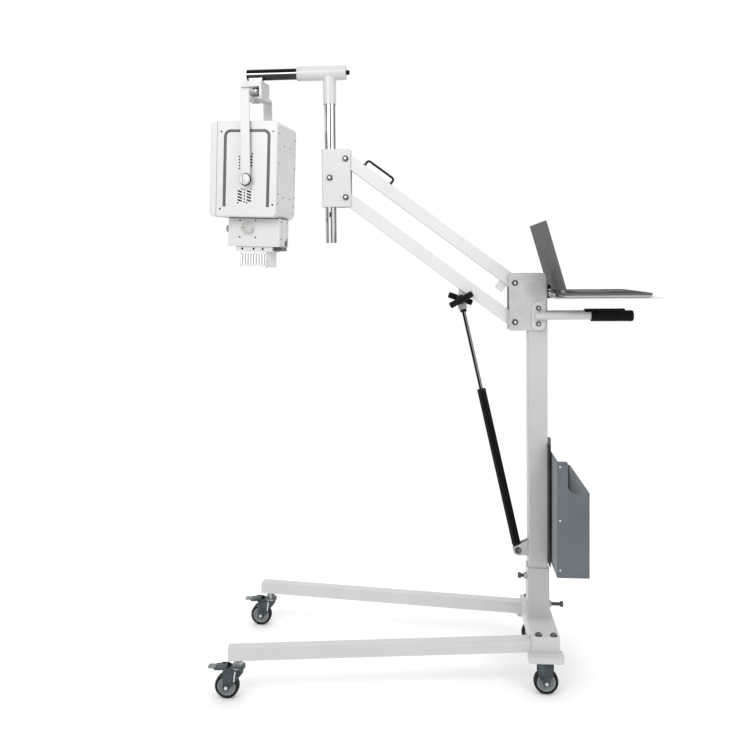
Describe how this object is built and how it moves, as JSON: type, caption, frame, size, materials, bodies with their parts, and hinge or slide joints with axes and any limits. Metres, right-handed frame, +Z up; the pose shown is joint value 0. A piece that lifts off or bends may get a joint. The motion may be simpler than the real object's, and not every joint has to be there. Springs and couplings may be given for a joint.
{
  "type": "mobile x-ray stand",
  "caption": "Portable X-ray head in a tilting yoke on a height-adjustable parallelogram arm, with a wheeled stand, laptop tray, push handles and detector bin.",
  "frame": {"origin": "under the middle of the object's box, on the floor", "axes": "+Z up, -X towards the X-ray head, +X towards the operator, +Y to the operator's right"},
  "size_m": [1.3936, 0.5348, 1.9615],
  "materials": {
    "white_paint": "satin",
    "head_paint": "satin",
    "steel": "brushed",
    "chrome": "polished",
    "black_chrome": "polished",
    "bolt_steel": "zinc plated",
    "black_paint": "gloss",
    "grip_rubber": "moulded",
    "black_plastic": "moulded",
    "grey_plastic": "moulded",
    "fork_steel": "satin",
    "tyre_grey": "moulded",
    "hub_grey": "moulded",
    "bin_paint": "satin",
    "laptop_shell": "anodised",
    "clear_skirt": "polished",
    "tank_metal": "plain"
  },
  "bodies": {
    "stand": {"crossbeam": "white_paint", "leg_left": "white_paint", "leg_right": "white_paint", "stand_bolts": "bolt_steel", "rear_castor_forks": "fork_steel", "front_castor_stems": "bolt_steel", "column_socket": "white_paint", "column_tube": "white_paint", "arm_bracket": "steel", "bracket_bolts": "bolt_steel", "handle_tubes": "white_paint", "handle_grips": "grip_rubber", "tray_bracket": "black_paint", "laptop_tray": "white_paint", "laptop_base": "laptop_shell", "bin_hanger": "black_paint", "detector_bin": "bin_paint", "rear_panel_screws": "bolt_steel"},
    "upper_arm": {"upper_arm": "white_paint", "bow_handle": "black_paint"},
    "lower_arm": {"lower_arm": "white_paint"},
    "mast_carrier": {"mast_clamp": "white_paint", "mast_clamp_bolts": "bolt_steel"},
    "mast": {"mast_tube": "chrome"},
    "tee": {"tee_fitting": "white_paint"},
    "lock_screw": {"boom_lock_screw": "black_plastic"},
    "boom": {"boom_tube": "black_chrome", "swivel_stud": "steel"},
    "swivel": {"swivel_bracket": "white_paint", "yoke": "white_paint"},
    "head": {"head_shell": "head_paint", "head_end_cap": "head_paint", "head_side_panel": "head_paint", "generator_tank": "tank_metal", "tube_insert": "tank_metal", "collimator_housing": "head_paint", "collimator_flange": "head_paint", "beam_spacer": "clear_skirt", "rail_block": "grey_plastic"},
    "yoke_knob_left": {"yoke_knob_left": "head_paint"},
    "yoke_knob_right": {"yoke_knob_right": "head_paint"},
    "collimator_dial": {"collimator_dial": "grey_plastic"},
    "collimator_side_knob": {"collimator_side_knob": "grey_plastic"},
    "spring_cylinder": {"spring_cylinder": "black_paint"},
    "spring_rod": {"spring_rod": "chrome"},
    "release_grip_left": {"release_grip_left": "black_plastic"},
    "release_grip_right": {"release_grip_right": "black_plastic"},
    "laptop_lid": {"laptop_lid": "laptop_shell"},
    "castor_left": {"front_fork_left": "fork_steel"},
    "pedal_left": {"brake_pedal_left": "fork_steel"},
    "front_wheel_left": {"front_wheel_left_hub": "hub_grey", "front_wheel_left_tyre": "tyre_grey"},
    "rear_wheel_left": {"rear_wheel_left_hub": "hub_grey", "rear_wheel_left_tyre": "tyre_grey"},
    "castor_right": {"front_fork_right": "fork_steel"},
    "pedal_right": {"brake_pedal_right": "fork_steel"},
    "front_wheel_right": {"front_wheel_right_hub": "hub_grey", "front_wheel_right_tyre": "tyre_grey"},
    "rear_wheel_right": {"rear_wheel_right_hub": "hub_grey", "rear_wheel_right_tyre": "tyre_grey"}
  },
  "joints": [
    {"name": "arm_lift", "type": "hinge", "parent": "stand", "child": "upper_arm", "pos_m": [0.27831, 0, 1.2525], "axis": [0, 1, 0], "range_deg": [-40, 8]},
    {"name": "lower_arm_pivot", "type": "hinge", "parent": "stand", "child": "lower_arm", "pos_m": [0.27831, 0, 1.128], "axis": [0, 1, 0], "range_deg": [-41, 9]},
    {"name": "mast_level", "type": "hinge", "parent": "upper_arm", "child": "mast_carrier", "pos_m": [-0.25918, 0, 1.65752], "axis": [0, 1, 0], "range_deg": [-9, 41]},
    {"name": "spring_foot", "type": "hinge", "parent": "stand", "child": "spring_cylinder", "pos_m": [0.2878, 0, 0.386], "axis": [0, 1, 0], "range_deg": [-4.3, 1.66]},
    {"name": "spring_stroke", "type": "slide", "parent": "spring_cylinder", "child": "spring_rod", "axis": [-0.2146, 0, 0.9767], "range_m": [-0.1227, 0.0277]},
    {"name": "mast_height", "type": "slide", "parent": "mast_carrier", "child": "mast", "axis": [0, 0, 1], "range_m": [-0.12, 0.1]},
    {"name": "boom_turn", "type": "hinge", "parent": "mast", "child": "tee", "pos_m": [-0.31118, 0, 1.87], "axis": [0, 0, 1], "range_deg": [-90, 90]},
    {"name": "boom_lock", "type": "hinge", "parent": "tee", "child": "lock_screw", "pos_m": [-0.24919, 0, 1.938], "axis": [1, 0, 0], "range_deg": [-90, 90]},
    {"name": "boom_reach", "type": "slide", "parent": "tee", "child": "boom", "axis": [-1, 0, 0], "range_m": [0, 0.1]},
    {"name": "head_swivel", "type": "hinge", "parent": "boom", "child": "swivel", "pos_m": [-0.55219, 0, 1.9], "axis": [0, 0, 1], "range_deg": [-90, 90]},
    {"name": "head_tilt", "type": "hinge", "parent": "swivel", "child": "head", "pos_m": [-0.55219, 0, 1.5875], "axis": [0.1513, 0.9885, 0], "range_deg": [-30, 60]},
    {"name": "yoke_lock_left", "type": "hinge", "parent": "head", "child": "yoke_knob_left", "pos_m": [-0.56914, -0.11071, 1.5875], "axis": [-0.1513, -0.9885, 0], "range_deg": [-90, 90]},
    {"name": "yoke_lock_right", "type": "hinge", "parent": "head", "child": "yoke_knob_right", "pos_m": [-0.53525, 0.11071, 1.5875], "axis": [0.1513, 0.9885, 0], "range_deg": [-90, 90]},
    {"name": "field_dial", "type": "hinge", "parent": "head", "child": "collimator_dial", "pos_m": [-0.57911, -0.04545, 1.43517], "axis": [-0.1513, -0.9885, 0], "range_deg": [-60, 60]},
    {"name": "field_side_knob", "type": "hinge", "parent": "head", "child": "collimator_side_knob", "pos_m": [-0.64942, -0.01345, 1.43816], "axis": [-0.9877, 0.1511, 0.0401], "range_deg": [-60, 60]},
    {"name": "release_squeeze_left", "type": "hinge", "parent": "spring_rod", "child": "release_grip_left", "pos_m": [0.10887, -0.038, 1.20059], "axis": [0, 1, 0], "range_deg": [0, 18], "stiffness_Nm_per_rad": 1.2},
    {"name": "release_squeeze_right", "type": "hinge", "parent": "spring_rod", "child": "release_grip_right", "pos_m": [0.10887, 0.038, 1.20059], "axis": [0, 1, 0], "range_deg": [0, 18], "stiffness_Nm_per_rad": 1.2},
    {"name": "lid_fold", "type": "hinge", "parent": "stand", "child": "laptop_lid", "pos_m": [0.4148, 0, 1.228], "axis": [0, 1, 0], "range_deg": [-5, 104]},
    {"name": "castor_swivel_left", "type": "hinge", "parent": "stand", "child": "castor_left", "pos_m": [-0.57921, -0.24527, 0.097], "axis": [0, 0, 1], "continuous": true},
    {"name": "brake_left", "type": "hinge", "parent": "castor_left", "child": "pedal_left", "pos_m": [-0.60321, -0.24527, 0.084], "axis": [0, -1, 0], "range_deg": [0, 15]},
    {"name": "front_roll_left", "type": "hinge", "parent": "castor_left", "child": "front_wheel_left", "pos_m": [-0.61521, -0.24527, 0.0375], "axis": [0, 1, 0], "continuous": true},
    {"name": "rear_roll_left", "type": "hinge", "parent": "stand", "child": "rear_wheel_left", "pos_m": [0.3548, -0.16, 0.0375], "axis": [0, 1, 0], "continuous": true},
    {"name": "castor_swivel_right", "type": "hinge", "parent": "stand", "child": "castor_right", "pos_m": [-0.57921, 0.24527, 0.097], "axis": [0, 0, 1], "continuous": true},
    {"name": "brake_right", "type": "hinge", "parent": "castor_right", "child": "pedal_right", "pos_m": [-0.60321, 0.24527, 0.084], "axis": [0, -1, 0], "range_deg": [0, 15]},
    {"name": "front_roll_right", "type": "hinge", "parent": "castor_right", "child": "front_wheel_right", "pos_m": [-0.61521, 0.24527, 0.0375], "axis": [0, 1, 0], "continuous": true},
    {"name": "rear_roll_right", "type": "hinge", "parent": "stand", "child": "rear_wheel_right", "pos_m": [0.3548, 0.16, 0.0375], "axis": [0, 1, 0], "continuous": true}
  ],
  "couplings": [
    {"joint": "lower_arm_pivot", "follows": "arm_lift", "ratio": 1},
    {"joint": "mast_level", "follows": "arm_lift", "ratio": -1},
    {"joint": "spring_foot", "follows": "arm_lift", "ratio": 0.0825},
    {"joint": "spring_stroke", "follows": "arm_lift", "m_per_rad": 0.17}
  ]
}
